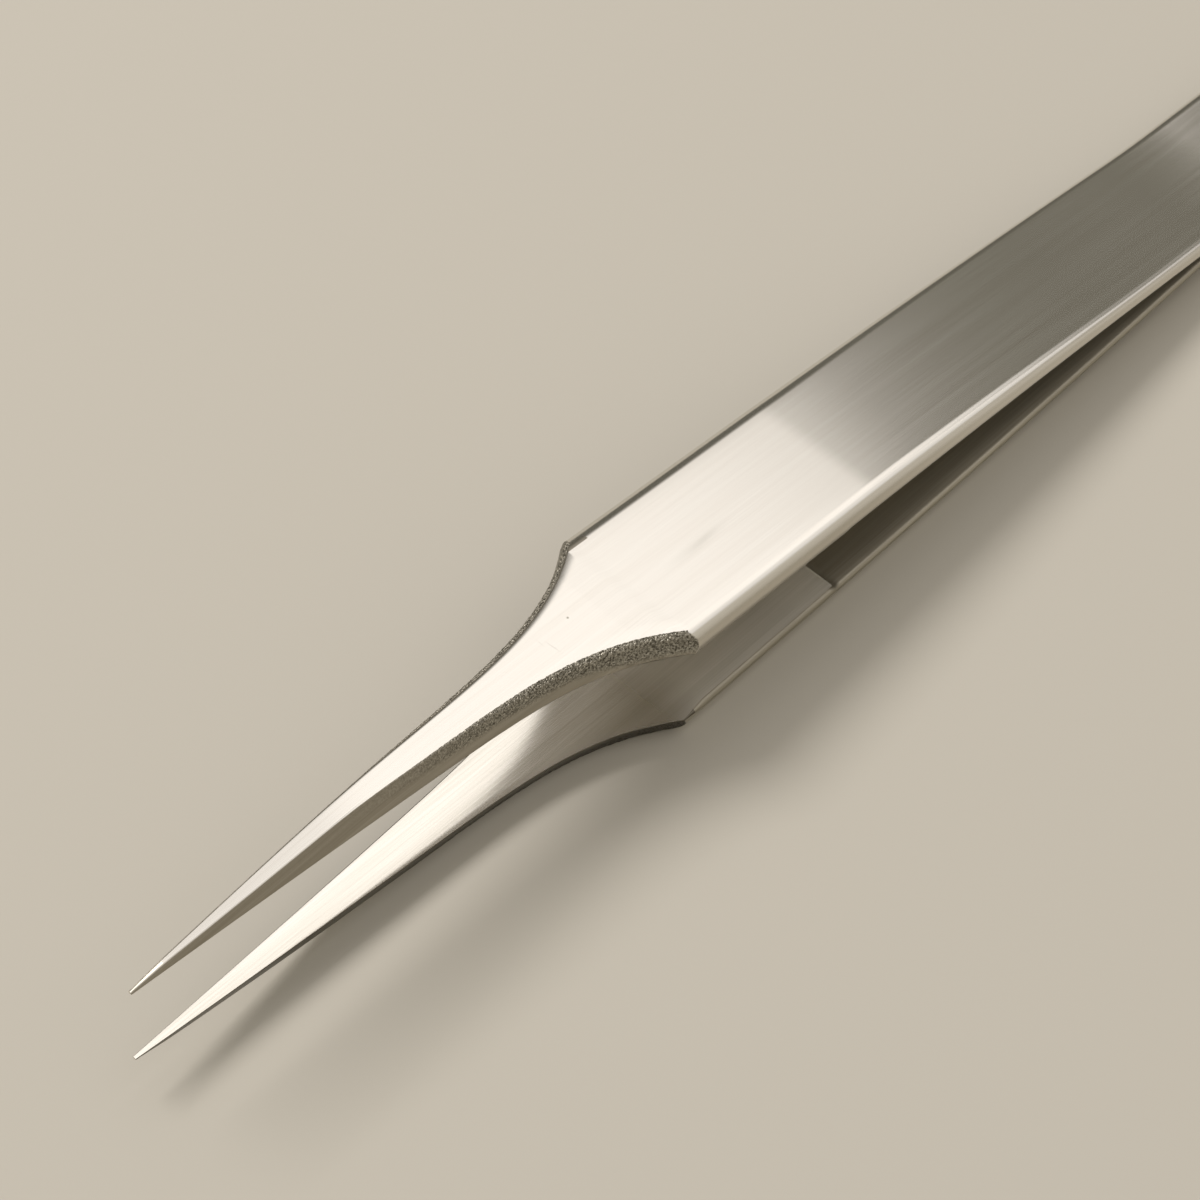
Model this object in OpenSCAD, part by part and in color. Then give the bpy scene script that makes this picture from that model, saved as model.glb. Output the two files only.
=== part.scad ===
// Fine-point tweezers: two ground steel arms that are joined face to face at the tail.
// Millimetres. Z is up, X runs from the tips to the tail, and Y is the plane of symmetry.
// Each arm is one strip, lofted through cross-sections in its own frame, where z = 0 is the
// plane on which the two arms meet. The pair is then tilted as it lies on a table.

/* [Overall] */
// Length of each arm from point to tail, measured along the joint plane
tool_l = 110; // [100:1:125]
// Widest clear gap between the two inner faces
gap_w = 5.9; // [4.6:0.1:7]
// Distance from the points to the place where the gap is widest
gap_x = 16; // [10:0.5:22]

/* [Strip] */
// Width of the strip at the shoulders
body_w = 9.5; // [8:0.1:11]
// Width of the strip at the tail
tail_w = 8.6; // [7:0.1:9.5]
// Radius of the two tail corners, seen from above
tail_corner_r = 2; // [0.5:0.1:3.5]
// Largest rounding of the long outer edges
edge_r = 1.04; // [0.5:0.02:1.3]
// Straight side left below that rounding, above the relief of the inner face
edge_land = 0.06; // [0.02:0.01:0.4]

/* [Thickness] */
// Thickness of an arm at the very point
tip_t = 0.12; // [0.08:0.02:0.3]
// Length of the stoned point
point_l = 2; // [1:0.1:4]
// Thickness where the stoned point ends
point_t = 0.44; // [0.3:0.02:0.6]
// Length over which the arm thins towards the point
thin_l = 14.5; // [11:0.5:17]
// Full thickness of the ground front
front_t = 1.44; // [1.1:0.02:1.8]
// Thickness at the shoulders
shoulder_t = 1.33; // [1:0.01:1.6]
// Distance from the points to the end of the seat that touches the table
seat_end_x = 50; // [46:1:56]
// Thickness there
seat_t = 1.2; // [0.95:0.01:1.5]
// Distance from the points to the thinnest, springing part
spring_x = 75; // [68:1:80]
// Thickness of the springing part
spring_t = 0.78; // [0.6:0.02:1]
// Thickness of one arm at the tail
tail_t = 1.15; // [0.8:0.05:1.5]

/* [Ground front] */
// Distance from the points to the shoulders
shoulder_x = 33.9; // [30:0.1:38]
// Width of a tip
tip_w = 0.21; // [0.1:0.01:0.5]
// Distance from the points to the place where the outline starts to flare
neck_x = 17.5; // [14:0.5:22]
// Width of the neck there
neck_w = 2.29; // [1.8:0.01:3]
// Slope of the ground sides, as sideways travel for each millimetre of height
draft = 0.34; // [0:0.01:0.45]
// Rounding of the ground sides' outer edges at the shoulders
break_r = 0.26; // [0.05:0.01:0.4]

/* [Inner faces] */
// Distance from the points to the end of the ground inner pads
pad_l = 46.5; // [40:0.5:60]
// Depth of the relief behind the pads
relief_d = 0.08; // [0.02:0.01:0.2]
// Rounding that the strip's inner edges keep behind the pads
inner_r = 0.18; // [0.05:0.01:0.3]
// Rounding left on the pads' stoned edges
stoned_r = 0.02; // [0.01:0.005:0.03]

/* [Tail joint] */
// Length over which the two arms are joined face to face
joint_l = 22; // [14:1:28]
// Length of the bend in front of the joint
bend_l = 6; // [3:0.5:10]

/* [Resting] */
// Distance from the points to the middle of the seat that touches the table
seat_x = 42; // [38:0.5:46]
// Depth of the flat that is ground there
seat_d = 0.05; // [0.03:0.01:0.1]

/* [Resolution] */
// Distance between cross-sections along plain stretches
step_l = 2; // [1:0.25:4]
// Distance between cross-sections along the flared outline
fine_l = 0.5; // [0.25:0.05:1]

/* [Hidden] */
steel = [0.80, 0.78, 0.73];

// The gap follows one large arc from the points to the bend in front of the joint
joint_x = tool_l - joint_l;
bend_x = joint_x - bend_l;
bow_run = bend_x - gap_x;
bow_r = bow_run * (bow_run + bend_l) / gap_w;

// The flare is what the outline adds to the straight taper of the tips
taper = (neck_w - tip_w) / 2 / neck_x;
flare_l = shoulder_x - neck_x;
flare_w = body_w / 2 - tip_w / 2 - taper * shoulder_x;
flare_power = 4;
// The ground sides run out on the rounded edges within this distance behind the shoulders
runout_l = 0.9;

// Slopes of the straight runs of the thickness, between points that are rounded off
point_slope = (point_t - tip_t) / point_l;
thin_slope = (front_t - point_t) / (thin_l - point_l);
front_slope = (shoulder_t - front_t) / (shoulder_x - thin_l);
seat_slope = (seat_t - shoulder_t) / (seat_end_x - shoulder_x);
spring_slope = (spring_t - seat_t) / (spring_x - seat_end_x);
tail_slope = (tail_t - spring_t) / (tool_l - spring_x);
point_blend = 0.8;
front_blend = 2.5;
body_blend = 4;

// Points up each side of a section: on the rounded inner edge, and above it, closer to the back
inner_n = 2;
outer_n = 9;

// Nothing before the corner, the full run after it, and a parabola over the blend between
function run(x, corner, blend) =
    x <= corner - blend ? 0 :
    x >= corner + blend ? x - corner :
    pow(x - corner + blend, 2) / (4 * blend);

// Thickness of an arm before its seat is ground flat
function full_t(x) =
    tip_t + point_slope * x
    + (thin_slope - point_slope) * run(x, point_l, point_blend)
    + (front_slope - thin_slope) * run(x, thin_l, front_blend)
    + (seat_slope - front_slope) * run(x, shoulder_x, body_blend)
    + (spring_slope - seat_slope) * run(x, seat_end_x, body_blend)
    + (tail_slope - spring_slope) * run(x, spring_x, body_blend);

// Height of the inner face above the joint plane
function gap_z(x) =
    x >= joint_x ? 0 :
    x >= bend_x ? bow_run / bow_r * pow(joint_x - x, 2) / (2 * bend_l) :
    gap_w / 2 - pow(x - gap_x, 2) / (2 * bow_r);

// How far the inner face lies behind the plane of the pads, and the rounding of its edges
function relief(x) = x > pad_l && x < bend_x ? relief_d : 0;
function inner_round(x) = x > pad_l ? inner_r : stoned_r;

// The table touches the seat and the tail's lower edge, and the seat is ground to it
seat_z = gap_z(seat_x) + full_t(seat_x) - seat_d;
rest_slope = (seat_z - tail_t) / (tool_l - seat_x);
tilt = atan(rest_slope);
function table_z(x) = seat_z - rest_slope * (x - seat_x);
function outer_z(x) = min(gap_z(x) + full_t(x), max(table_z(x), gap_z(x) + tip_t));

// Half width of the strip, with its tail corners
function strip_w(x) =
    let (side = body_w / 2 - (body_w - tail_w) / 2 * max(0, x - shoulder_x) / (tool_l - shoulder_x),
         past = max(0, x - (tool_l - tail_corner_r)))
    side - tail_corner_r + sqrt(max(0, pow(tail_corner_r, 2) - past * past));

// Half width of the ground outline at the inner face, and its slope
function flare(x) = x <= neck_x ? 0 : flare_w * pow((x - neck_x) / flare_l, flare_power);
function ground_w(x) = tip_w / 2 + taper * x + flare(x);
function ground_slope(x) =
    taper + (x <= neck_x ? 0 : flare_power * flare(x) / (x - neck_x));

// How far a rounding of radius r cuts in at a distance d from the face that it ends on
function round_in(d, r) = d >= r ? 0 : r - sqrt(max(0, r * r - pow(r - d, 2)));

// Half width of a section at height z above the pads' plane, where t is the back's height
function section_w(x, z, t) =
    let (strip = strip_w(x) - round_in(t - z, min(edge_r, t - relief_d - edge_land)),
         ground = ground_w(x) - draft * z * sqrt(1 + pow(ground_slope(x), 2))
             - round_in(t - z, min(break_r, t / 4)),
         outline = x > shoulder_x + runout_l ? strip : min(strip, ground))
    outline - round_in(z - relief(x), inner_round(x));

// Heights of a section's points above the pads' plane
function heights(x, t) =
    let (low = relief(x), r = inner_round(x))
    concat([for (k = [0 : inner_n - 1]) low + r * (1 - cos(90 * k / inner_n))],
           [for (k = [0 : outer_n]) low + r + (t - low - r) * sin(90 * k / outer_n)]);

// One section, from the inner edge up one side and down the other
function section(x) =
    let (t = outer_z(x) - gap_z(x), zs = heights(x, t), n = len(zs))
    [for (i = [0 : 2 * n - 1])
        let (up = i < n, z = up ? zs[i] : zs[2 * n - 1 - i])
        [x, (up ? 1 : -1) * section_w(x, z, t), gap_z(x) + z]];

function spread(from, to, gap) =
    let (n = max(1, ceil((to - from) / gap)))
    [for (i = [0 : n - 1]) from + (to - from) * i / n];

// Places of the sections, closer where the outline or the thickness turns
stations = concat(
    spread(0, point_l, 0.5),
    spread(point_l, neck_x, step_l / 2),
    spread(neck_x, shoulder_x - 1.5, fine_l),
    spread(shoulder_x - 1.5, shoulder_x + runout_l, fine_l / 3),
    spread(shoulder_x + runout_l, pad_l, step_l),
    [pad_l],
    spread(pad_l + relief_d, bend_x, step_l),
    [bend_x],
    spread(bend_x + relief_d, joint_x, step_l / 2),
    spread(joint_x, tool_l - tail_corner_r, step_l),
    [for (a = [0 : 9 : 81]) tool_l - tail_corner_r * (1 - sin(a))],
    [tool_l]);

// Skin over a list of sections that all have the same number of points
module loft(sections) {
    n = len(sections[0]);
    m = len(sections);
    sides = [for (j = [0 : m - 2], i = [0 : n - 1])
        let (a = j * n + i, b = j * n + (i + 1) % n)
        each [[a, a + n, b], [b, a + n, b + n]]];
    // An end is closed in level strips, from one side of the section to the other
    front = [for (i = [0 : n / 2 - 2])
        each [[i, i + 1, n - 2 - i], [i, n - 2 - i, n - 1 - i]]];
    last = (m - 1) * n;
    back = [for (f = front) [last + f[2], last + f[1], last + f[0]]];
    polyhedron([for (s = sections, p = s) p], concat(sides, front, back));
}

// One arm, with its inner face towards the joint plane and its back up
module arm() {
    loft([for (x = stations) section(x)]);
}

// Sets the pair down on the table, with the origin under the middle of its box
rest_lift = table_z(0) * cos(tilt);
tip_back = gap_z(0) + tip_t;
x_low = -tip_back * sin(tilt);
x_high = tool_l * cos(tilt) + tail_t * sin(tilt);
module resting() {
    translate([-(x_low + x_high) / 2, 0, rest_lift])
        rotate([0, tilt, 0])
            children();
}

module upper_arm() {
    color(steel) resting() arm();
}

module lower_arm() {
    color(steel) resting() mirror([0, 0, 1]) arm();
}

upper_arm();
lower_arm();
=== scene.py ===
"""Fine-point tweezers: two ground steel arms, joined face to face at the tail, on a pale floor."""

import logging
import math
from dataclasses import dataclass, field
from enum import Enum
from itertools import accumulate

import bmesh
import bpy
from mathutils import Matrix, Vector, noise


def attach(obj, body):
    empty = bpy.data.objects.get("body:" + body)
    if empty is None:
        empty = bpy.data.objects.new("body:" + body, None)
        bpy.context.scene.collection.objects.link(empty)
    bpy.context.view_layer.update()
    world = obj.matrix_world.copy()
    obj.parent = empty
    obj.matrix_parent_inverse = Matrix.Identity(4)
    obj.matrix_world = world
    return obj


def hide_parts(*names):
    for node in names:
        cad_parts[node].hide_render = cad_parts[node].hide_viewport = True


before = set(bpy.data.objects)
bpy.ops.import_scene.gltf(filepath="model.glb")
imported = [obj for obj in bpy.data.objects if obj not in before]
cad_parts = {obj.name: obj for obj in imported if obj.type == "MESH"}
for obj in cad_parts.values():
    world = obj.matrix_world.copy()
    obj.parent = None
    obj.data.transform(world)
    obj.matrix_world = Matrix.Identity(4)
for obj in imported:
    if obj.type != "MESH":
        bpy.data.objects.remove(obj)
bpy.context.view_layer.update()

log = logging.getLogger("tweezers")
MM = 0.001
# Faces that meet at more than this angle keep a sharp edge between them
SHARP_ANGLE = math.radians(50)
# The UV map, which runs along the strip in metres, and the vertex attributes that the finishes read
ALONG, COARSE, FLANK, REAR = "along", "coarse", "flank", "rear"
# Millimetres that set the inner face apart from the back on the UV map
INNER_UV_SHIFT = 50.0
# Millimetres within which two vertices are one, as along the seam of the wrapped grid
MERGE_MM = 1e-5
# Fractal dimension, lacunarity and octaves of the pits in the mesh
PIT_FRACTAL = (0.7, 2.0, 2)
# Detail of the noises in the finishes
NOISE_DETAIL = {"Detail": 2.0, "Roughness": 0.6}
# Length and width of the wide streaks, as multiples of the fine ones'
WIDE_STREAK = (3, 8)
# Where the sum of the fine and the wide streaks' noise lies
STREAK_RANGE = {"From Min": 0.7, "From Max": 1.3}
# Where the grain's noise turns from pit to crest
CREST_RANGE = {"From Min": 0.34, "From Max": 0.7}
# A quarter turn, which spreads a reflection across the streaks as brushed steel does
ACROSS = 0.25

Place = tuple[float, float, float]
Index = dict[bmesh.types.BMVert, tuple[int, int]]


def linear(hex_colour: str) -> tuple[float, float, float, float]:
    """Turns an sRGB hex colour into the linear colour that a shader socket takes.

    Args:
        hex_colour: Six hex digits with a leading hash sign.

    Returns:
        Red, green, blue and an alpha of 1.
    """
    parts = [int(hex_colour[i : i + 2], 16) / 255 for i in (1, 3, 5)]
    red, green, blue = (c / 12.92 if c <= 0.04045 else ((c + 0.055) / 1.055) ** 2.4 for c in parts)
    return red, green, blue, 1.0


def add_node(
    tree: bpy.types.NodeTree, kind: str, links: dict | None = None, **settings: object
) -> bpy.types.Node:
    """Adds one node with its settings, socket values and incoming links.

    Args:
        tree: The node tree that takes the node.
        kind: The node's type, such as "ShaderNodeTexNoise".
        links: For each input's name or number, a value or the output socket that feeds it.
        **settings: Attributes of the node, such as operation="MULTIPLY".

    Returns:
        The new node.
    """
    node = tree.nodes.new(kind)
    for name, value in settings.items():
        setattr(node, name, value)
    for key, value in (links or {}).items():
        if isinstance(value, bpy.types.NodeSocket):
            tree.links.new(value, node.inputs[key])
        else:
            node.inputs[key].default_value = value
    return node


def ramp(x: float, low: float, high: float) -> float:
    """Rises smoothly from 0 at low to 1 at high."""
    t = min(1.0, max(0.0, (x - low) / (high - low)))
    return t * t * (3 - 2 * t)


def grow(least: float, share: float) -> float:
    """Rises evenly from least at a share of 0 to 1 at a share of 1."""
    return least + (1 - least) * share


def spread(start: float, end: float, step: float) -> list[float]:
    """Divides a stretch evenly.

    Args:
        start: The first place, which is included.
        end: The last place, which isn't included.
        step: The widest distance between two places.

    Returns:
        The places from start up to the last one before end.
    """
    count = max(1, math.ceil((end - start) / step))
    return [start + (end - start) * i / count for i in range(count)]


class Side(Enum):
    """Which arm of the pair: the value is the sign of its height above the joint plane."""

    UPPER = 1
    LOWER = -1


class Zone(Enum):
    """The finishes of an arm, in the order of its material slots."""

    BACK = 0
    GROUND = 1
    PAD = 2
    RELIEF = 3
    POINT = 4


@dataclass(frozen=True)
class ArmShape:
    """Sizes of one arm in millimetres, in its own frame: x from the point, z from the joint plane.

    The camera stands on the near side, which is the negative one. A pair of values named "grows" or
    "fades" gives the places between which something changes.
    """

    # The strip
    length: float = 110.0
    strip_width: float = 9.5
    tail_width: float = 8.6
    tail_corner: float = 2.0
    edge_radius: float = 1.04
    edge_land: float = 0.06
    # Place and thickness of the corners of the thickness, and the blend at each
    thickness_at: tuple[Place, ...] = (
        (0.0, 0.12, 0.0),
        (2.0, 0.44, 0.8),
        (14.5, 1.44, 2.5),
        (33.9, 1.33, 4.0),
        (50.0, 1.2, 4.0),
        (75.0, 0.78, 4.0),
        (110.0, 1.15, 0.0),
    )
    # The bow, the tail joint with the bend in front of it, and the seat that touches the table
    gap: float = 5.9
    gap_x: float = 16.0
    joint_length: float = 22.0
    bend_length: float = 6.0
    seat_x: float = 42.0
    seat_depth: float = 0.05
    # The point
    tip_width: float = 0.21
    tip_thickness: float = 0.12
    point_length: float = 2.0
    least_half_width: float = 0.004
    # The ground outline: a straight taper up to the neck, then a flare up to the shoulders
    neck_x: float = 17.5
    neck_width: float = 2.29
    shoulder_x: float = 33.9
    flare_power: int = 4
    runout: float = 0.9
    # The lean of the ground sides, and the part of it that the far side has
    draft: float = 0.34
    tip_draft: float = 0.18
    draft_length: float = 14.0
    far_draft: float = 0.6
    # The facet along the ground edges of the back, and the part of the thickness that it may take
    facet_width: float = 0.28
    far_facet_width: float = 0.07
    facet_drop: float = 0.05
    tip_facet_drop: float = 0.02
    least_facet: float = 0.1
    least_far_facet: float = 0.5
    facet_part: float = 0.125
    facet_grows: tuple[float, float] = (11.0, 20.0)
    # The rounding below that facet, and the part of the thickness that it may take
    break_radius: float = 0.26
    least_break: float = 0.15
    break_part: float = 0.25
    break_grows: tuple[float, float] = (14.0, 28.0)
    # The inner face: the pad in front, the relief behind it, and the rounding of their edges
    pad_length: float = 46.5
    relief_depth: float = 0.08
    inner_radius: float = 0.3
    inner_runout: float = 2.0
    stoned_radius: float = 0.07
    tip_stoned_radius: float = 0.02
    stoned_grows: tuple[float, float] = (2.0, 20.0)
    # Painted shade low on the strip's rounded side ends between these cosines of the rounding, and fades to
    # the tail
    flank_ends: tuple[float, float] = (0.45, 0.8)
    flank_fades: tuple[float, float] = (44.0, 62.0)
    least_flank: float = 0.5

    @property
    def joint_x(self) -> float:
        """Where the joined faces start."""
        return self.length - self.joint_length

    @property
    def bend_x(self) -> float:
        """Where the bow ends and the bend in front of the joint starts."""
        return self.joint_x - self.bend_length

    @property
    def bow_run(self) -> float:
        """Length of the bow from its widest place to the bend."""
        return self.bend_x - self.gap_x

    @property
    def bow_radius(self) -> float:
        """Radius of the bow."""
        return self.bow_run * (self.bow_run + self.bend_length) / self.gap

    @property
    def taper(self) -> float:
        """Sideways travel of the ground outline for each millimetre of the straight tips."""
        return (self.neck_width - self.tip_width) / 2 / self.neck_x

    @property
    def flare_width(self) -> float:
        """What the flare adds to the straight taper at the shoulders."""
        return self.strip_width / 2 - self.tip_width / 2 - self.taper * self.shoulder_x

    @property
    def runout_x(self) -> float:
        """Where the ground sides have run out on the strip's rounded edges."""
        return self.shoulder_x + self.runout

    def full_thickness(self, x: float) -> float:
        """Gives the thickness before the seat is ground flat.

        Args:
            x: Distance from the point.

        Returns:
            The thickness: straight runs between the corners, with a parabola over each blend.
        """
        corners = self.thickness_at
        slopes = [(b[1] - a[1]) / (b[0] - a[0]) for a, b in zip(corners, corners[1:])]
        total = corners[0][1] + slopes[0] * x
        for (place, _, blend), before, after in zip(corners[1:], slopes, slopes[1:]):
            if x >= place + blend:
                total += (after - before) * (x - place)
            elif x > place - blend:
                total += (after - before) * (x - place + blend) ** 2 / (4 * blend)
        return total

    def gap_z(self, x: float) -> float:
        """Gives the height of the unrelieved inner face.

        Args:
            x: Distance from the point.

        Returns:
            The height above the joint plane: the bow, then the bend, then the joint itself.
        """
        if x >= self.joint_x:
            return 0.0
        if x >= self.bend_x:
            return self.bow_run / self.bow_radius * (self.joint_x - x) ** 2 / (2 * self.bend_length)
        return self.gap / 2 - (x - self.gap_x) ** 2 / (2 * self.bow_radius)

    def relief(self, x: float) -> float:
        """Gives how far the inner face lies behind the plane of the pads."""
        return self.relief_depth if self.pad_length < x < self.bend_x else 0.0

    def inner_round(self, x: float) -> float:
        """Gives the rounding of the inner edges.

        Args:
            x: Distance from the point.

        Returns:
            The radius: barely stoned along the ground front, growing behind the shoulders.
        """
        full, least = self.stoned_radius, self.tip_stoned_radius
        stoned = least + (full - least) * ramp(x, *self.stoned_grows)
        grown = ramp(x, self.shoulder_x, self.shoulder_x + self.inner_runout)
        return stoned + (self.inner_radius - stoned) * grown

    @property
    def seat_z(self) -> float:
        """Height of the middle of the seat above the joint plane."""
        return self.gap_z(self.seat_x) + self.full_thickness(self.seat_x) - self.seat_depth

    @property
    def tail_thickness(self) -> float:
        """Thickness of the arm at the tail."""
        return self.thickness_at[-1][1]

    @property
    def rest_slope(self) -> float:
        """Slope of the table against the joint plane."""
        return (self.seat_z - self.tail_thickness) / (self.length - self.seat_x)

    def table_z(self, x: float) -> float:
        """Gives the distance of the table from the joint plane."""
        return self.seat_z - self.rest_slope * (x - self.seat_x)

    def outer_z(self, x: float) -> float:
        """Gives the height of the back above the joint plane."""
        low = self.gap_z(x)
        return min(low + self.full_thickness(x), max(self.table_z(x), low + self.tip_thickness))

    def top(self, x: float) -> float:
        """Gives the height of the back above the pads' plane."""
        return self.outer_z(x) - self.gap_z(x)

    def strip_half(self, x: float) -> float:
        """Gives the half width of the unground strip.

        Args:
            x: Distance from the point.

        Returns:
            The half width, which narrows towards the tail and turns round its corners.
        """
        narrowing = (self.strip_width - self.tail_width) / 2
        narrowed = narrowing * max(0.0, x - self.shoulder_x) / (self.length - self.shoulder_x)
        side = self.strip_width / 2 - narrowed
        past = max(0.0, x - (self.length - self.tail_corner))
        return side - self.tail_corner + math.sqrt(max(0.0, self.tail_corner**2 - past * past))

    def flare(self, x: float) -> float:
        """Gives what the flare adds to the half width at x."""
        share = max(0.0, x - self.neck_x) / (self.shoulder_x - self.neck_x)
        return self.flare_width * share**self.flare_power

    def ground_half(self, x: float) -> float:
        """Gives the half width of the ground outline at the inner face."""
        return self.tip_width / 2 + self.taper * x + self.flare(x)

    def ground_slope(self, x: float) -> float:
        """Gives the slope of the ground outline against the middle line."""
        past = x - self.neck_x
        return self.taper + (self.flare_power * self.flare(x) / past if past > 0 else 0.0)

    @staticmethod
    def round_in(distance: float, radius: float) -> float:
        """Gives how far a rounding cuts in.

        Args:
            distance: Distance from the face that the rounding ends on.
            radius: Its radius.

        Returns:
            The depth that is cut away there, or 0 beyond the rounding.
        """
        if distance >= radius:
            return 0.0
        return radius - math.sqrt(max(0.0, radius**2 - (radius - distance) ** 2))

    def edge_rounding(self, top: float) -> float:
        """Gives the radius of the strip's outer edges where the back lies top above the pads' plane."""
        return min(self.edge_radius, top - self.relief_depth - self.edge_land)

    def facet(self, x: float, top: float, far: bool = False) -> tuple[float, float]:
        """Gives the facet along a ground edge of the back.

        Args:
            x: Distance from the point.
            top: Height of the back above the pads' plane.
            far: Whether the edge is the one on the positive side, which is narrower.

        Returns:
            The width and the drop in millimetres.
        """
        share = ramp(x, *self.facet_grows)
        if far:
            width = self.far_facet_width * grow(self.least_far_facet, share)
        else:
            width = self.facet_width * grow(self.least_facet, share)
        drop = self.tip_facet_drop + (self.facet_drop - self.tip_facet_drop) * share
        return width, min(drop, top * self.facet_part)

    def strip_edge(self, x: float, z: float, top: float) -> float:
        """Gives the half width that the strip's rounded edge leaves at the height z."""
        return self.strip_half(x) - self.round_in(top - z, self.edge_rounding(top))

    def ground_edge(self, x: float, z: float, top: float, far: bool = False) -> float:
        """Gives the half width that the ground side and its facet leave.

        Args:
            x: Distance from the point.
            z: Height above the pads' plane.
            top: Height of the back above that plane.
            far: Whether the side is the positive one, which is steeper.

        Returns:
            The half width in millimetres.
        """
        draft = self.tip_draft + (self.draft - self.tip_draft) * min(1.0, x / self.draft_length)
        part = self.far_draft if far else 1.0
        lean = draft * z * math.sqrt(1 + self.ground_slope(x) ** 2) * part
        width, drop = self.facet(x, top, far)
        below = top - z - drop
        inset = width * max(0.0, -below / drop)
        radius = self.break_radius * grow(self.least_break, ramp(x, *self.break_grows))
        broken = self.round_in(max(0.0, below), min(radius, top * self.break_part))
        return self.ground_half(x) - lean - inset - broken

    def half_width(self, x: float, z: float, top: float, far: bool = False) -> float:
        """Gives the half width of the arm.

        Args:
            x: Distance from the point.
            z: Height above the pads' plane.
            top: Height of the back above that plane.
            far: Whether the side is the positive one.

        Returns:
            The half width in millimetres.
        """
        width = self.strip_edge(x, z, top)
        if x <= self.runout_x:
            width = min(width, self.ground_edge(x, z, top, far))
        inner = self.round_in(z - self.relief(x), self.inner_round(x))
        return max(self.least_half_width, width - inner)

    def flank(self, x: float, z: float, top: float) -> float:
        """Gives the share of the painted shade low on the strip's rounded side.

        Args:
            x: Distance from the point.
            z: Height above the pads' plane.
            top: Height of the back above that plane.

        Returns:
            The share, from 0 near the back to 1 low on the side, and less towards the tail.
        """
        radius = self.edge_rounding(top)
        low = 1 - ramp((z - top + radius) / radius, *self.flank_ends)
        return low * (1 - (1 - self.least_flank) * ramp(x, *self.flank_fades))

    def groundness(self, x: float, z: float, top: float) -> float:
        """Tells how deep the ground side lies inside the strip's own edge.

        Args:
            x: Distance from the point.
            z: Height above the pads' plane.
            top: Height of the back above that plane.

        Returns:
            The depth in millimetres, which is negative where the strip's edge is left as it was.
        """
        if x > self.runout_x:
            return -1.0
        return self.strip_edge(x, z, top) - self.ground_edge(x, z, top)


@dataclass(frozen=True)
class Mark:
    """A small flaw on a face: a soft dark patch, placed on the UV map along the strip."""

    at_mm: tuple[float, float]
    half_mm: tuple[float, float]
    turn_deg: float
    strength: float

    def mask(self, tree: bpy.types.NodeTree, place: bpy.types.NodeSocket) -> bpy.types.NodeSocket:
        """Adds the mask of the mark.

        Args:
            tree: The material's node tree.
            place: The socket with the UV coordinates.

        Returns:
            The socket with the mask, which fades from the strength in the middle to 0.
        """
        fit = {
            "Vector": place,
            "Location": (self.at_mm[0] * MM, self.at_mm[1] * MM, 0.0),
            "Rotation": (0.0, 0.0, math.radians(self.turn_deg)),
            "Scale": (self.half_mm[0] * MM, self.half_mm[1] * MM, 1.0),
        }
        inside = add_node(tree, "ShaderNodeMapping", fit, vector_type="TEXTURE")
        reach = add_node(tree, "ShaderNodeVectorMath", {0: inside.outputs[0]}, operation="LENGTH")
        fade = {"Value": reach.outputs["Value"], "From Min": 1.0, "From Max": 0.0, "To Max": self.strength}
        return add_node(tree, "ShaderNodeMapRange", fade, interpolation_type="SMOOTHSTEP").outputs[0]


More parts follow.
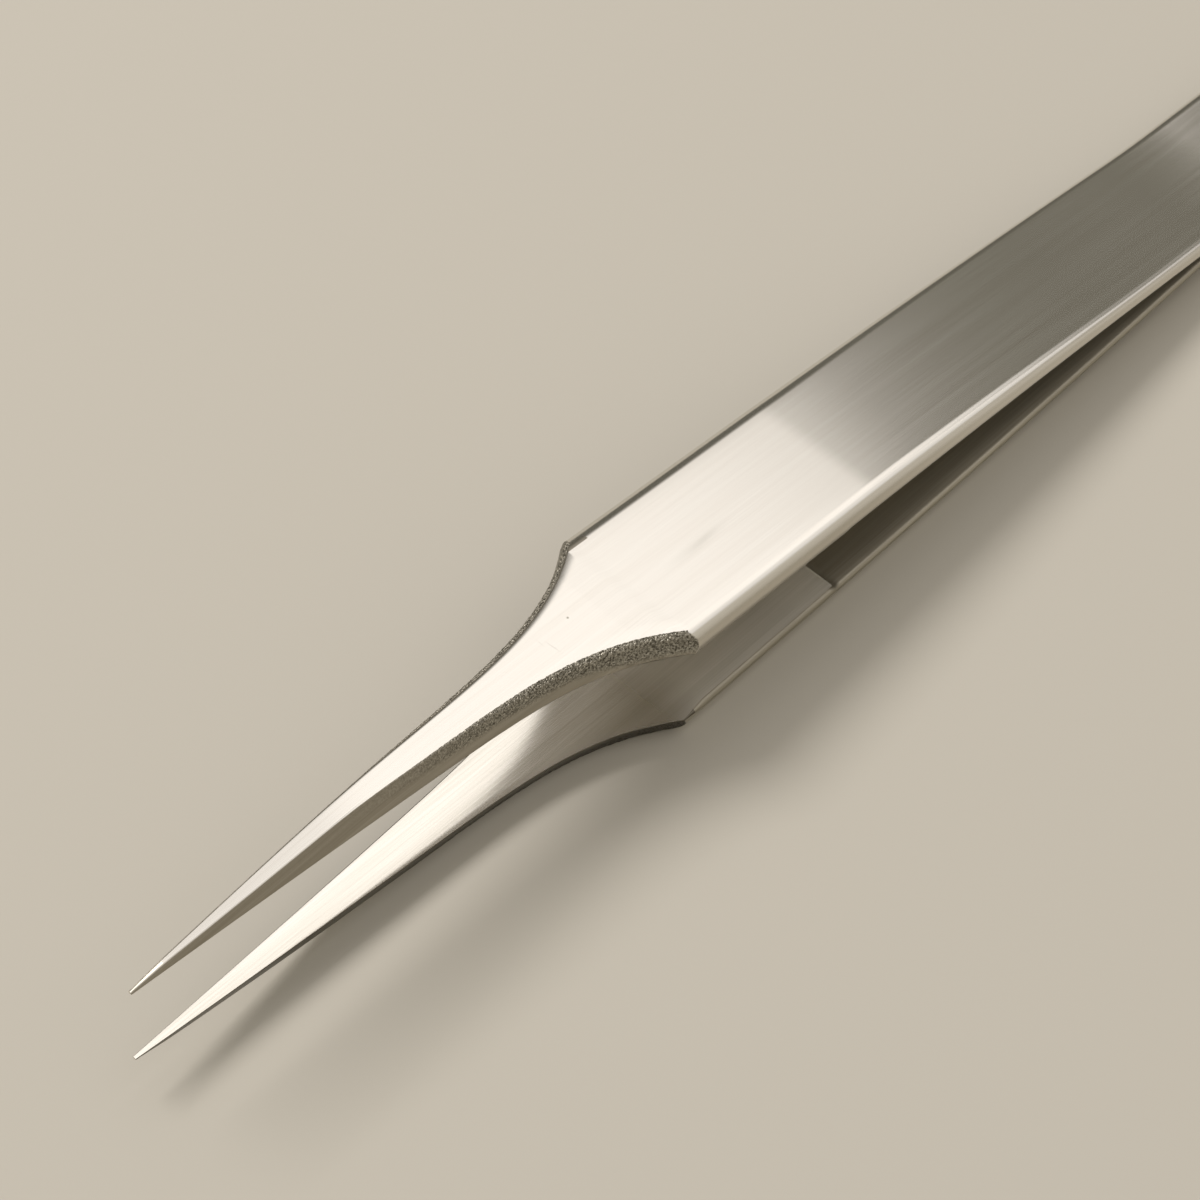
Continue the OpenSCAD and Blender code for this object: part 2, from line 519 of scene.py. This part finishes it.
@dataclass(frozen=True)
class Finish:
    """A stainless steel surface: what its grinding or brushing leaves to be seen.

    The streaks of a fine belt are some 0.01 mm wide, too fine to show, so they are drawn as coarse as
    they need to be. The grain is that of a coarse wheel, at its real size.
    """

    name: str
    # The streaks' own colour and the darker one between them
    colour: str = "#E4E1DA"
    shade: str = "#DDD9D1"
    # Below 1, a part of the surface scatters light as dull ground steel does
    metallic: float = 1.0
    roughness: float = 0.18
    roughness_spread: float = 0.01
    anisotropy: float = 0.5
    streak_mm: float = 0.06
    streak_length_mm: float = 9.0
    streak_depth_mm: float = 0.00012
    # The granular break, where the coarse attribute is above 0, with painted shade in the pits and painted
    # glints on the crests
    grain_mm: float = 0.0
    grain_depth_mm: float = 0.0
    pit_shade_colour: str = "#4E4A3F"
    crest_glint_colour: str = "#C4BFB2"
    # What the flank attribute turns the colour to, a painted shade, and the rear attribute the metallic
    # share
    flank_shade_colour: str = ""
    rear_metallic: float | None = None
    marks: tuple[Mark, ...] = ()
    mark_colour: str = "#858172"

    def material(self) -> bpy.types.Material:
        """Makes the material.

        Returns:
            A material with one metal shader, whose roughness, colour and bump vary with the streaks.
        """
        mat = bpy.data.materials.new(self.name)
        mat.use_nodes = True
        tree = mat.node_tree
        tree.nodes.clear()
        place = add_node(tree, "ShaderNodeUVMap", uv_map=ALONG).outputs[0]
        longer, wider = WIDE_STREAK
        fine = self.streaks(tree, place, self.streak_length_mm, self.streak_mm)
        broad = self.streaks(tree, place, self.streak_length_mm * longer, self.streak_mm * wider)
        both = add_node(tree, "ShaderNodeMath", {0: fine, 1: broad}, operation="ADD").outputs[0]
        share = add_node(tree, "ShaderNodeMapRange", {"Value": both, **STREAK_RANGE}).outputs[0]
        low, high = self.roughness - self.roughness_spread, self.roughness + self.roughness_spread
        rough = add_node(tree, "ShaderNodeMapRange", {"Value": share, "To Min": low, "To Max": high})
        colour = self.colours(tree, share, place)
        bump = add_node(tree, "ShaderNodeBump", {"Height": fine, "Distance": self.streak_depth_mm * MM})
        normal = bump.outputs[0]
        if self.grain_mm:
            colour, normal = self.grain(tree, colour, normal)
        metallic = self.metallic
        if self.rear_metallic is not None:
            rear = add_node(tree, "ShaderNodeAttribute", attribute_name=REAR).outputs["Fac"]
            dull = {0: rear, 2: self.metallic, 3: self.rear_metallic}
            metallic = add_node(tree, "ShaderNodeMix", dull).outputs[0]
        tangent = add_node(tree, "ShaderNodeTangent", direction_type="UV_MAP", uv_map=ALONG)
        look = {
            "Base Color": colour,
            "Roughness": rough.outputs[0],
            "Metallic": metallic,
            "Normal": normal,
            "Anisotropic": self.anisotropy,
            "Anisotropic Rotation": ACROSS,
            "Tangent": tangent.outputs[0],
        }
        shader = add_node(tree, "ShaderNodeBsdfPrincipled", look)
        add_node(tree, "ShaderNodeOutputMaterial", {"Surface": shader.outputs[0]})
        return mat

    def colours(
        self, tree: bpy.types.NodeTree, share: bpy.types.NodeSocket, place: bpy.types.NodeSocket
    ) -> bpy.types.NodeSocket:
        """Adds the colour of the streaks, the painted shade on the flank and the marks.

        Args:
            tree: The material's node tree.
            share: The socket with the streaks.
            place: The socket with the UV coordinates.

        Returns:
            The socket with the colour.
        """
        tint = {0: share, 6: linear(self.shade), 7: linear(self.colour)}
        colour = add_node(tree, "ShaderNodeMix", tint, data_type="RGBA").outputs[2]
        covers = []
        if self.flank_shade_colour:
            flank = add_node(tree, "ShaderNodeAttribute", attribute_name=FLANK).outputs["Fac"]
            covers.append((flank, self.flank_shade_colour))
        covers += [(mark.mask(tree, place), self.mark_colour) for mark in self.marks]
        for cover, cover_colour in covers:
            tint = {0: cover, 6: colour, 7: linear(cover_colour)}
            colour = add_node(tree, "ShaderNodeMix", tint, data_type="RGBA").outputs[2]
        return colour

    @staticmethod
    def streaks(
        tree: bpy.types.NodeTree, place: bpy.types.NodeSocket, length_mm: float, width_mm: float
    ) -> bpy.types.NodeSocket:
        """Adds a noise that is stretched along the strip.

        Args:
            tree: The material's node tree.
            place: The socket with the UV coordinates.
            length_mm: Length of a streak.
            width_mm: Width of a streak.

        Returns:
            The socket with the noise, around 0.5.
        """
        scale = (1 / (length_mm * MM), 1 / (width_mm * MM), 1.0)
        stretched = add_node(tree, "ShaderNodeMapping", {"Vector": place, "Scale": scale})
        streak = {"Vector": stretched.outputs[0], "Scale": 1.0, **NOISE_DETAIL}
        return add_node(tree, "ShaderNodeTexNoise", streak).outputs[0]

    def grain(
        self, tree: bpy.types.NodeTree, colour: bpy.types.NodeSocket, normal: bpy.types.NodeSocket
    ) -> tuple[bpy.types.NodeSocket, bpy.types.NodeSocket]:
        """Adds the granular break: pits darkened with painted shade and crests lit with painted glints,
        which fade where the coarse attribute does.

        Args:
            tree: The material's node tree.
            colour: The colour so far.
            normal: The normal so far.

        Returns:
            The sockets with the new colour and the new normal.
        """
        place = add_node(tree, "ShaderNodeTexCoord").outputs["Object"]
        grains = {"Vector": place, "Scale": 1 / (self.grain_mm * MM), **NOISE_DETAIL}
        grain = add_node(tree, "ShaderNodeTexNoise", grains).outputs[0]
        crest = add_node(tree, "ShaderNodeMapRange", {"Value": grain, **CREST_RANGE}).outputs[0]
        coarse = add_node(tree, "ShaderNodeAttribute", attribute_name=COARSE).outputs["Fac"]
        tint = {0: crest, 6: linear(self.pit_shade_colour), 7: linear(self.crest_glint_colour)}
        painted_speckle = add_node(tree, "ShaderNodeMix", tint, data_type="RGBA").outputs[2]
        blend = add_node(tree, "ShaderNodeMix", {0: coarse, 6: colour, 7: painted_speckle}, data_type="RGBA")
        height = add_node(tree, "ShaderNodeMath", {0: crest, 1: coarse}, operation="MULTIPLY").outputs[0]
        bump = {"Height": height, "Distance": self.grain_depth_mm * MM, "Normal": normal}
        return blend.outputs[2], add_node(tree, "ShaderNodeBump", bump).outputs[0]


@dataclass
class Arm:
    """One arm of the pair: a strip with rounded outer edges, ground to a fine point in front."""

    side: Side
    shape: ArmShape = field(default_factory=ArmShape)
    # Steps of a section: round an inner edge, up a side, over a facet, across the back and the inner face
    inner_levels: int = 4
    side_levels: int = 24
    facet_levels: int = 4
    back_columns: int = 10
    inner_columns: int = 8
    # Millimetres between sections, which are closest where the ground sides run out at the shoulders
    point_step: float = 0.125
    tip_step: float = 0.25
    flare_step: float = 0.08
    shoulder_step: float = 0.05
    shoulder_reach: float = 3.0
    body_step: float = 0.5
    # Past the shoulders, one section closes the ground front and one starts the plain strip
    closing_step: float = 0.01
    opening_step: float = 0.3
    corner_step_deg: int = 6
    # Size and depth of the pits in the granular break
    pit_mm: float = 0.14
    pit_depth_mm: float = 0.04
    # The break starts at this share of a side's height, sinks by this near the shoulders, and
    # comes up over this. It is faint at the tips.
    coarse_from: float = 0.3
    coarse_sink: float = 0.35
    coarse_blend: float = 0.35
    coarse_sinks: tuple[float, float] = (27.0, 32.0)
    least_coarse: float = 0.05
    coarse_grows: tuple[float, float] = (12.0, 26.0)
    # Least depth of grinding that breaks the grain, and the part of the facets that stays smooth
    coarse_margin: float = 0.01
    near_smooth: float = 0.5
    far_smooth: float = 1.01
    # Where the strip's own brushing is left on the inner face, counted from the shoulders
    rear_starts: tuple[float, float] = (-1.0, 2.5)

    @property
    def node(self) -> str:
        """Name of the node in the frame that this arm stands for."""
        return f"{self.side.name.lower()}_arm"

    @property
    def rise(self) -> int:
        """Number of points of a section from an inner edge up to the back."""
        return self.inner_levels + self.side_levels + self.facet_levels + 1

    @property
    def rim(self) -> int:
        """Number of points of a section before its inner face starts."""
        return 2 * self.rise + self.back_columns - 1

    def stations(self) -> list[float]:
        """Gives the places of the cross-sections.

        Returns:
            Distances from the point, closer where the outline or the thickness turns.
        """
        s = self.shape
        corner_x = s.length - s.tail_corner
        turns = [math.sin(math.radians(a)) for a in range(0, 90, self.corner_step_deg)]
        return (
            spread(0, s.point_length, self.point_step)
            + spread(s.point_length, s.neck_x, self.tip_step)
            + spread(s.neck_x, s.shoulder_x - self.shoulder_reach, self.flare_step)
            + spread(s.shoulder_x - self.shoulder_reach, s.runout_x, self.shoulder_step)
            + [s.runout_x, s.runout_x + self.closing_step]
            + spread(s.runout_x + self.opening_step, s.pad_length, self.body_step)
            + [s.pad_length]
            + spread(s.pad_length + s.relief_depth, s.bend_x, self.body_step)
            + [s.bend_x]
            + spread(s.bend_x + s.relief_depth, corner_x, self.body_step)
            + [s.length - s.tail_corner * (1 - turn) for turn in turns]
            + [s.length]
        )

    def heights(self, x: float, top: float) -> list[float]:
        """Gives the heights of a section's points above the pads' plane.

        Args:
            x: Distance from the point.
            top: Height of the back.

        Returns:
            The heights from the inner face to the back, closer round the edges.
        """
        s = self.shape
        low, radius = s.relief(x), s.inner_round(x)
        drop = s.facet(x, top)[1]
        wall = top - drop - low - radius
        quarter = math.pi / 2
        inner = [quarter * k / self.inner_levels for k in range(self.inner_levels)]
        side = [quarter * k / self.side_levels for k in range(self.side_levels)]
        facet = [top - drop * (1 - k / self.facet_levels) ** 2 for k in range(self.facet_levels + 1)]
        return (
            [low + radius * (1 - math.cos(angle)) for angle in inner]
            + [low + radius + wall * math.sin(angle) for angle in side]
            + facet
        )

    def section(self, x: float) -> list[Vector]:
        """Gives the cross-section at x as a ring.

        Args:
            x: Distance from the point in millimetres.

        Returns:
            Points in millimetres, from the near inner edge up, over the back, down and along the inner face.
        """
        s = self.shape
        plane, top = s.gap_z(x), s.top(x)
        heights = self.heights(x, top)
        up = [Vector((x, -s.half_width(x, z, top), plane + z)) for z in heights]
        down = [Vector((x, s.half_width(x, z, top, far=True), plane + z)) for z in reversed(heights)]
        back = [up[-1].lerp(down[0], k / self.back_columns) for k in range(1, self.back_columns)]
        inner = [down[-1].lerp(up[0], k / self.inner_columns) for k in range(1, self.inner_columns + 1)]
        return up + back + down + inner

    def resting(self) -> Matrix:
        """Gives the matrix that sets an arm down with its pair.

        Returns:
            The matrix from millimetres in the arm's own frame to metres in the shared frame.
        """
        s = self.shape
        tilt = math.atan(s.rest_slope)
        tip_back = s.gap_z(0) + s.tip_thickness
        x_low = -tip_back * math.sin(tilt)
        x_high = s.length * math.cos(tilt) + s.tail_thickness * math.sin(tilt)
        lift = s.table_z(0) * math.cos(tilt)
        shift = Matrix.Translation((-(x_low + x_high) / 2, 0, lift))
        mirror = Matrix.Diagonal((1, 1, self.side.value, 1))
        return Matrix.Scale(MM, 4) @ shift @ Matrix.Rotation(tilt, 4, "Y") @ mirror

    def level(self, column: int) -> int | None:
        """Tells how high up its side a column of a section lies.

        Args:
            column: Number of the point around the section.

        Returns:
            The number of points above the inner edge, or None between the sides.
        """
        if column < self.rise:
            return column
        mirrored = self.rim - 1 - column
        return mirrored if 0 <= mirrored < self.rise else None

    def zone(self, x: float, column: int) -> Zone:
        """Tells the finish of the face that starts at a column of the section at x.

        Args:
            x: Distance of the face from the point.
            column: Number of the face around the section.

        Returns:
            The zone.
        """
        s = self.shape
        if column >= self.rim - 1:
            return Zone.RELIEF if s.pad_length < x < s.joint_x else Zone.PAD
        levels = [self.level(column), self.level(column + 1)]
        if None in levels:
            return Zone.POINT if x < s.point_length else Zone.BACK
        ground = x < s.runout_x
        if min(levels) < self.inner_levels:
            if ground:
                return Zone.GROUND
            # The lower arm's inner edges past the shoulders take the relief's finish with its painted shade,
            # which hides their highlight
            return Zone.RELIEF if self.side is Side.LOWER else Zone.BACK
        if min(levels) >= self.rise - 1 - self.facet_levels:
            return Zone.GROUND if ground and column >= self.rise else Zone.BACK
        top = s.top(x)
        heights = self.heights(x, top)
        middle = (heights[levels[0]] + heights[levels[1]]) / 2
        return Zone.GROUND if s.groundness(x, middle, top) > 0 else Zone.BACK

    def coarseness(self, x: float, column: int) -> float:
        """Gives the share of the granular break at a point of a section.

        Args:
            x: Distance of the point from the tip.
            column: Its number around the section.

        Returns:
            The share: full at the back's edge, and none low on the side or where the strip is unground.
        """
        level = self.level(column)
        if level is None:
            return 0.0
        s = self.shape
        top = s.top(x)
        height = self.heights(x, top)[level]
        smooth = self.near_smooth if column < self.rise else self.far_smooth
        unbroken = height >= top - s.facet(x, top)[1] * smooth
        if unbroken or s.groundness(x, height, top) < self.coarse_margin:
            return 0.0
        low = self.coarse_from - self.coarse_sink * ramp(x, *self.coarse_sinks)
        full = grow(self.least_coarse, ramp(x, *self.coarse_grows))
        return ramp(height / top, low, low + self.coarse_blend) * full

    def flank(self, x: float, column: int) -> float:
        """Gives the share of the painted shade low on the strip's rounded side at a point of a section.

        Args:
            x: Distance of the point from the tip.
            column: Its number around the section.

        Returns:
            The share, which is 0 on the back and on the inner face.
        """
        level = self.level(column)
        if level is None:
            return 0.0
        top = self.shape.top(x)
        return self.shape.flank(x, self.heights(x, top)[level], top)

    def dress(
        self, bm: bmesh.types.BMesh, index: Index, places: list[float], sections: list[list[Vector]]
    ) -> None:
        """Gives each face of the grid its zone and its place on the UV map.

        Args:
            bm: The flat grid.
            index: Row and column of each vertex.
            places: Places of the rows along the arm.
            sections: The ring of each row.
        """
        uv = bm.loops.layers.uv[ALONG]
        steps = [[0.0] + [(b - a).length for a, b in zip(ring, ring[1:])] for ring in sections]
        girth = [list(accumulate(row)) for row in steps]
        for face in bm.faces:
            row = min(index[v][0] for v in face.verts)
            column = min(index[v][1] for v in face.verts)
            face.material_index = self.zone((places[row] + places[row + 1]) / 2, column).value
            face.smooth = True
            for loop in face.loops:
                i, j = index[loop.vert]
                if column >= self.rim - 1:
                    across = sections[i][j].y + INNER_UV_SHIFT
                else:
                    across = girth[i][j] - girth[i][self.rim // 2]
                loop[uv].uv = (places[i] * MM, across * MM)

    def wrap(
        self, bm: bmesh.types.BMesh, index: Index, places: list[float], sections: list[list[Vector]]
    ) -> None:
        """Moves the grid's vertices onto the sections, sets their attributes and sinks the pits.

        Args:
            bm: The flat grid.
            index: Row and column of each vertex.
            places: Places of the rows along the arm.
            sections: The ring of each row.
        """
        coarse, flank, rear = (bm.verts.layers.float[name] for name in (COARSE, FLANK, REAR))
        rear_low, rear_high = (self.shape.shoulder_x + start for start in self.rear_starts)
        for v, (i, j) in index.items():
            v[coarse] = self.coarseness(places[i], j)
            v[flank] = self.flank(places[i], j)
            v[rear] = ramp(places[i], rear_low, rear_high)
            v.co = sections[i][j]
            v.co.y += self.pit_depth_mm * v[coarse] * noise.fractal(v.co / self.pit_mm, *PIT_FRACTAL)

    @staticmethod
    def close(bm: bmesh.types.BMesh) -> None:
        """Merges the seam, closes both ends and marks the sharp edges.

        Args:
            bm: The wrapped grid.
        """
        bmesh.ops.remove_doubles(bm, verts=bm.verts, dist=MERGE_MM)
        ends = [e for e in bm.edges if e.is_boundary]
        caps = bmesh.ops.holes_fill(bm, edges=ends, sides=0)["faces"]
        for cap in caps:
            cap.material_index = Zone.POINT.value
        bmesh.ops.triangulate(bm, faces=caps)
        for edge in bm.edges:
            if edge.is_manifold and edge.calc_face_angle() > SHARP_ANGLE:
                edge.smooth = False

    def mesh(self) -> bpy.types.Mesh:
        """Wraps a grid around the sections and closes it.

        Returns:
            The mesh, in its place, with its zones as material numbers and its UV map.
        """
        places = self.stations()
        sections = [self.section(x) for x in places]
        bm = bmesh.new()
        bm.loops.layers.uv.new(ALONG)
        for name in (COARSE, FLANK, REAR):
            bm.verts.layers.float.new(name)
        rows, columns = len(places) - 1, len(sections[0]) - 1
        bmesh.ops.create_grid(bm, x_segments=rows, y_segments=columns, size=1.0)
        index = {v: (round((v.co.x + 1) / 2 * rows), round((v.co.y + 1) / 2 * columns)) for v in bm.verts}
        self.dress(bm, index, places, sections)
        self.wrap(bm, index, places, sections)
        self.close(bm)
        bmesh.ops.transform(bm, matrix=self.resting(), verts=bm.verts)
        bmesh.ops.recalc_face_normals(bm, faces=bm.faces)
        mesh = bpy.data.meshes.new(self.node)
        bm.to_mesh(mesh)
        bm.free()
        return mesh

    def build(self, materials: list[bpy.types.Material]) -> bpy.types.Object:
        """Makes the arm, dresses it and sets it on the frame.

        Args:
            materials: One material for each zone, in the zones' order.

        Returns:
            The arm's object.
        """
        mesh = self.mesh()
        for material in materials:
            mesh.materials.append(material)
        piece = bpy.data.objects.new(f"{self.node}_steel", mesh)
        bpy.context.scene.collection.objects.link(piece)
        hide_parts(self.node)
        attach(piece, "root")
        log.info("%s: %d faces", piece.name, len(mesh.polygons))
        return piece


@dataclass(frozen=True)
class SkyPatch:
    """A soft-edged part of the sky around a direction.

    Its mask rises from 0 at the cosine low to 1 at the cosine high of the angle to that direction.
    """

    way: Place
    low: float
    high: float

    def mask(self, tree: bpy.types.NodeTree, look: bpy.types.NodeSocket) -> bpy.types.NodeSocket:
        """Adds the mask of the patch.

        Args:
            tree: The world's node tree.
            look: The socket with the direction that is looked in.

        Returns:
            The socket with the mask.
        """
        dot = {0: look, 1: Vector(self.way).normalized()}
        cosine = add_node(tree, "ShaderNodeVectorMath", dot, operation="DOT_PRODUCT")
        limits = {"Value": cosine.outputs["Value"], "From Min": self.low, "From Max": self.high}
        return add_node(tree, "ShaderNodeMapRange", limits, interpolation_type="SMOOTHSTEP").outputs[0]


@dataclass(frozen=True)
class Studio:
    """The pale floor, the soft light and the camera.

    Bright steel shows its surroundings, so the sky is a plain white room whose parts are placed
    where the photo's reflections have them.
    """

    # Matt paint: pale, even, and hardly a reflection
    floor_colour: str = "#BFBBB1"
    floor_roughness: float = 0.9
    floor_specular: float = 0.1
    floor_half_m: float = 3.0
    # The ceiling, at its full strength on the side that the tail points to. Its soft border is what the
    # upper back shows as the change from bright to dark
    ceiling_colour: str = "#FFFAF6"
    ceiling: SkyPatch = SkyPatch((0.0, 0.09, 1.0), 0.57, 0.72)
    open_side: SkyPatch = SkyPatch((0.7, 0.35, 0.0), -0.35, 0.35)
    closed_share: float = 0.15
    # A dark spot at that border, which the upper back shows at the photo's edge
    tail_shade: SkyPatch = SkyPatch((0.7449, 0.2638, 0.6129), 0.9948, 0.9974)
    # A bright bay below the border, which the rounding of the near edge shows
    bay: SkyPatch = SkyPatch((0.7021, -0.3577, 0.6157), 0.9744, 0.9926)
    # A window that brightens all behind it. The flat faces show it, apart from the upper point
    window: SkyPatch = SkyPatch((0.659, 0.1765, 0.731), 0.87, 0.943)
    window_gain: float = 1.4
    # The light wall on the near side, and the darker ones beyond it
    near_wall: SkyPatch = SkyPatch((-0.3, -0.95, 0.0), -0.1, 0.4)
    near_wall_colour: str = "#CBC4B7"
    far_wall_colour: str = "#69665D"
    # A soft lamp on the far side, which throws the shadows towards the near one
    key_way: Place = (-0.16, 0.61, 0.775)
    key_distance_m: float = 0.8
    key_size_m: float = 0.32
    key_watts: float = 3.8
    # The camera as it was fitted to the photo
    camera_at_mm: Place = (-97.14, -59.15, 127.71)
    camera_right: Place = (0.6769, -0.7339, 0.0562)
    camera_forward: Place = (0.4871, 0.3894, -0.7817)
    lens_mm: float = 90.0
    sensor_mm: float = 36.0
    clip_m: tuple[float, float] = (0.01, 20.0)

    def floor(self) -> bpy.types.Object:
        """Lays the floor.

        Returns:
            The floor's object.
        """
        bm = bmesh.new()
        bmesh.ops.create_grid(bm, x_segments=1, y_segments=1, size=self.floor_half_m)
        mesh = bpy.data.meshes.new("floor")
        bm.to_mesh(mesh)
        bm.free()
        mat = bpy.data.materials.new("painted_floor")
        mat.use_nodes = True
        shader = mat.node_tree.nodes["Principled BSDF"]
        shader.inputs["Base Color"].default_value = linear(self.floor_colour)
        shader.inputs["Roughness"].default_value = self.floor_roughness
        shader.inputs["Specular IOR Level"].default_value = self.floor_specular
        mesh.materials.append(mat)
        obj = bpy.data.objects.new("floor", mesh)
        bpy.context.scene.collection.objects.link(obj)
        log.info("floor: %.1f m wide", 2 * self.floor_half_m)
        return obj

    def sky(self) -> bpy.types.World:
        """Makes the world: a bright ceiling over dimmer walls.

        Returns:
            The world, which is set as the scene's own.
        """
        world = bpy.data.worlds.new("soft_studio")
        bpy.context.scene.world = world
        world.use_nodes = True
        tree = world.node_tree
        tree.nodes.clear()
        look = add_node(tree, "ShaderNodeTexCoord").outputs["Generated"]
        opened = {"Value": self.open_side.mask(tree, look), "To Min": self.closed_share}
        share = add_node(tree, "ShaderNodeMapRange", opened).outputs[0]
        lit = {0: self.ceiling.mask(tree, look), 1: share}
        bright = add_node(tree, "ShaderNodeMath", lit, operation="MULTIPLY").outputs[0]
        for operation, patch in (("SUBTRACT", self.tail_shade), ("ADD", self.bay)):
            change = {0: bright, 1: patch.mask(tree, look)}
            bright = add_node(tree, "ShaderNodeMath", change, operation=operation, use_clamp=True).outputs[0]
        near = self.near_wall.mask(tree, look)
        walls = {0: near, 6: linear(self.far_wall_colour), 7: linear(self.near_wall_colour)}
        wall = add_node(tree, "ShaderNodeMix", walls, data_type="RGBA").outputs[2]
        room = {0: bright, 6: wall, 7: linear(self.ceiling_colour)}
        colour = add_node(tree, "ShaderNodeMix", room, data_type="RGBA").outputs[2]
        shine = {"Value": self.window.mask(tree, look), "To Min": 1.0, "To Max": self.window_gain}
        gain = add_node(tree, "ShaderNodeMapRange", shine).outputs[0]
        back = add_node(tree, "ShaderNodeBackground", {"Color": colour, "Strength": gain})
        add_node(tree, "ShaderNodeOutputWorld", {"Surface": back.outputs[0]})
        log.info("sky: %s", world.name)
        return world

    def key(self) -> bpy.types.Object:
        """Hangs the large soft lamp.

        Returns:
            The lamp's object.
        """
        lamp = bpy.data.lights.new("key", "AREA")
        lamp.shape = "DISK"
        lamp.size = self.key_size_m
        lamp.energy = self.key_watts
        lamp.color = linear(self.ceiling_colour)[:3]
        obj = bpy.data.objects.new("key", lamp)
        direction = Vector(self.key_way).normalized()
        turn = direction.to_track_quat("Z", "Y").to_matrix().to_4x4()
        obj.matrix_world = Matrix.Translation(direction * self.key_distance_m) @ turn
        bpy.context.scene.collection.objects.link(obj)
        log.info("key lamp: %.1f W", lamp.energy)
        return obj

    def camera(self) -> bpy.types.Object:
        """Sets the camera at the photograph's viewing angle.

        Returns:
            The camera's object.
        """
        data = bpy.data.cameras.new("camera")
        data.lens = self.lens_mm
        data.sensor_width = self.sensor_mm
        data.clip_start, data.clip_end = self.clip_m
        right = Vector(self.camera_right).normalized()
        forward = Vector(self.camera_forward)
        forward = (forward - right * forward.dot(right)).normalized()
        up = right.cross(forward)
        axes = Matrix((right, up, -forward)).transposed().to_4x4()
        obj = bpy.data.objects.new("camera", data)
        obj.matrix_world = Matrix.Translation(Vector(self.camera_at_mm) * MM) @ axes
        bpy.context.scene.collection.objects.link(obj)
        bpy.context.scene.camera = obj
        log.info("camera: %.0f mm", data.lens)
        return obj


@dataclass
class Tweezers:
    """The pair of arms with their finishes."""

    # Radius that is left on the inner edges behind the shoulders
    upper_inner_radius: float = 0.12
    lower_inner_radius: float = 0.3
    # Satin-brushed steel: a bright, clean face whose reflections run out softly across fine streaks,
    # darkened low on its rounded sides with painted shade
    back: Finish = Finish("satin_brushed_steel", flank_shade_colour="#C4BFB4")
    # The same with handling marks: a faint smear in two layers, a pin-prick and two fine scratches
    marked_back: Finish = Finish(
        "marked_brushed_steel",
        flank_shade_colour="#C4BFB4",
        marks=(
            Mark((38.9, -0.45), (3.4, 0.6), 3.0, 0.10),
            Mark((39.2, -0.45), (1.7, 0.3), 5.0, 0.10),
            Mark((30.0, 0.47), (0.1, 0.1), 0.0, 1.0),
            Mark((28.05, -0.35), (0.08, 0.75), 4.0, 0.15),
            Mark((27.75, 0.3), (0.06, 0.5), -3.0, 0.1),
        ),
    )
    # Ground on a coarse wheel and stoned: an even grey, speckled where grains have broken out, with painted
    # shade in the pits and painted glints on the crests
    ground: Finish = Finish(
        "stoned_steel", colour="#A6A094", shade="#8F897C", roughness=0.32, anisotropy=0.0,
        grain_mm=0.11, grain_depth_mm=0.05,
    )
    # The same, darkened with painted shade where it lies close to the table: a thin dark line below the
    # bright inner face. Its pits and crests carry darker painted shade and glints
    shaded_low_ground: Finish = Finish(
        "shade_painted_stoned_steel", colour="#6F6A5F", shade="#59554B", roughness=0.32, anisotropy=0.0,
        grain_mm=0.11, grain_depth_mm=0.05, pit_shade_colour="#2E2B24", crest_glint_colour="#7D786D",
    )
    # Surface-ground: nearly a mirror with clear streaks along it, and duller behind the shoulders
    pad: Finish = Finish(
        "surface_ground_steel", colour="#F6F2EA", shade="#DEDACF", metallic=0.76, roughness=0.17,
        streak_mm=0.12, streak_depth_mm=0.0008, rear_metallic=0.45,
    )
    # The upper arm's pad: rougher than the lower one and darkened with painted shade, seen as the dark patch
    # that the lower pad reflects
    shaded_upper_pad: Finish = Finish(
        "shade_painted_pad_steel", colour="#877E6A", shade="#766E5B", roughness=0.5, anisotropy=0.3,
        streak_mm=0.12, streak_depth_mm=0.0008,
    )
    # Brushed in the relief: rougher than the pad, and darker with painted shade of the gap between the arms,
    # so that the step between them shows
    relief: Finish = Finish(
        "shade_painted_relief_steel", colour="#A8A293", shade="#948E80", metallic=0.8, roughness=0.38,
        streak_mm=0.12,
    )
    # Stoned by hand on the points and the end faces: light and matt, without a highlight
    point: Finish = Finish(
        "hand_stoned_steel", colour="#DAD6CC", shade="#CBC6BB", roughness=0.5, anisotropy=0.0,
    )

    def build(self) -> list[bpy.types.Object]:
        """Makes both arms.

        Returns:
            The upper and the lower arm.
        """
        shared = [f.material() for f in (self.relief, self.point)]
        upper = [f.material() for f in (self.marked_back, self.ground, self.shaded_upper_pad)] + shared
        lower = [f.material() for f in (self.back, self.shaded_low_ground, self.pad)] + shared
        return [
            Arm(Side.UPPER, ArmShape(inner_radius=self.upper_inner_radius)).build(upper),
            Arm(Side.LOWER, ArmShape(inner_radius=self.lower_inner_radius)).build(lower),
        ]


def main() -> None:
    """Builds the studio and the tweezers in order."""
    logging.basicConfig(level=logging.INFO)
    bpy.context.scene.view_settings.view_transform = "Standard"
    studio = Studio()
    studio.camera()
    studio.sky()
    studio.key()
    studio.floor()
    Tweezers().build()


if __name__ == "__main__":
    main()
